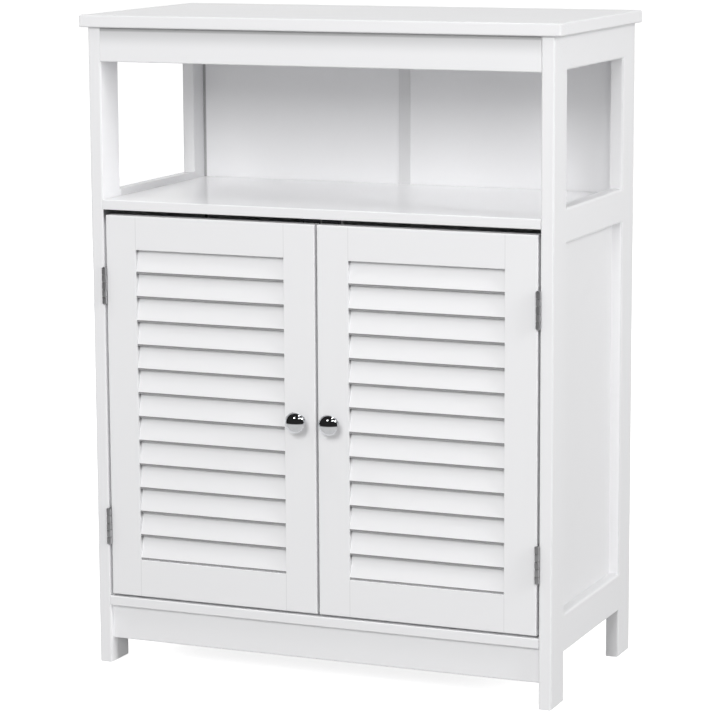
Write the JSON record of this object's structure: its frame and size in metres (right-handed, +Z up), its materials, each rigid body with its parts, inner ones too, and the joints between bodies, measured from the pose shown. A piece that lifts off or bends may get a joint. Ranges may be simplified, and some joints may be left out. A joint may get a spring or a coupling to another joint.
{
  "type": "louvred door cabinet",
  "caption": "White free-standing floor cabinet with an open compartment and side windows above a cupboard behind louvred double doors.",
  "frame": {"origin": "on the floor, midway between the sides and midway between the knobs' fronts and the rear face", "axes": "+Z up, the doors face -Y, +X to the right for someone who faces the doors"},
  "size_m": [0.61, 0.323, 0.8],
  "materials": {
    "white_board": "satin white paint over fibreboard",
    "white_strip": "white plastic profile",
    "chrome_knob": "polished chrome plate",
    "hinge_steel": "nickel plated steel",
    "catch_plastic": "moulded white plastic"
  },
  "bodies": {
    "cabinet": {"top_panel": "white_board", "left_side_frame": "white_board", "right_side_frame": "white_board", "left_side_infill": "white_board", "right_side_infill": "white_board", "front_apron": "white_board", "open_shelf": "white_board", "bottom_panel": "white_board", "front_plinth": "white_board", "back_panel_left": "white_board", "back_panel_right": "white_board", "inner_shelf": "white_board", "back_joining_strip": "white_strip", "shelf_pins": "hinge_steel", "frame_hinge_leaves": "hinge_steel", "hinge_pins": "hinge_steel", "cabinet_screws": "hinge_steel", "magnetic_catch": "catch_plastic"},
    "left_door": {"left_door_hinge_stile": "white_board", "left_door_meeting_stile": "white_board", "left_door_top_rail": "white_board", "left_door_bottom_rail": "white_board", "left_door_slat_01": "white_board", "left_door_slat_02": "white_board", "left_door_slat_03": "white_board", "left_door_slat_04": "white_board", "left_door_slat_05": "white_board", "left_door_slat_06": "white_board", "left_door_slat_07": "white_board", "left_door_slat_08": "white_board", "left_door_slat_09": "white_board", "left_door_slat_10": "white_board", "left_door_slat_11": "white_board", "left_door_slat_12": "white_board", "left_door_slat_13": "white_board", "left_door_knob": "chrome_knob", "left_door_hinge_leaves": "hinge_steel", "left_door_striker": "hinge_steel", "left_door_screws": "hinge_steel"},
    "right_door": {"right_door_hinge_stile": "white_board", "right_door_meeting_stile": "white_board", "right_door_top_rail": "white_board", "right_door_bottom_rail": "white_board", "right_door_slat_01": "white_board", "right_door_slat_02": "white_board", "right_door_slat_03": "white_board", "right_door_slat_04": "white_board", "right_door_slat_05": "white_board", "right_door_slat_06": "white_board", "right_door_slat_07": "white_board", "right_door_slat_08": "white_board", "right_door_slat_09": "white_board", "right_door_slat_10": "white_board", "right_door_slat_11": "white_board", "right_door_slat_12": "white_board", "right_door_slat_13": "white_board", "right_door_knob": "chrome_knob", "right_door_hinge_leaves": "hinge_steel", "right_door_striker": "hinge_steel", "right_door_screws": "hinge_steel"}
  },
  "joints": [
    {"name": "left_door_hinge", "type": "hinge", "parent": "cabinet", "child": "left_door", "pos_m": [-0.2785, -0.1407, 0.3235], "axis": [0, 0, -1], "range_deg": [0, 180]},
    {"name": "right_door_hinge", "type": "hinge", "parent": "cabinet", "child": "right_door", "pos_m": [0.2785, -0.1407, 0.3235], "axis": [0, 0, 1], "range_deg": [0, 180]}
  ]
}
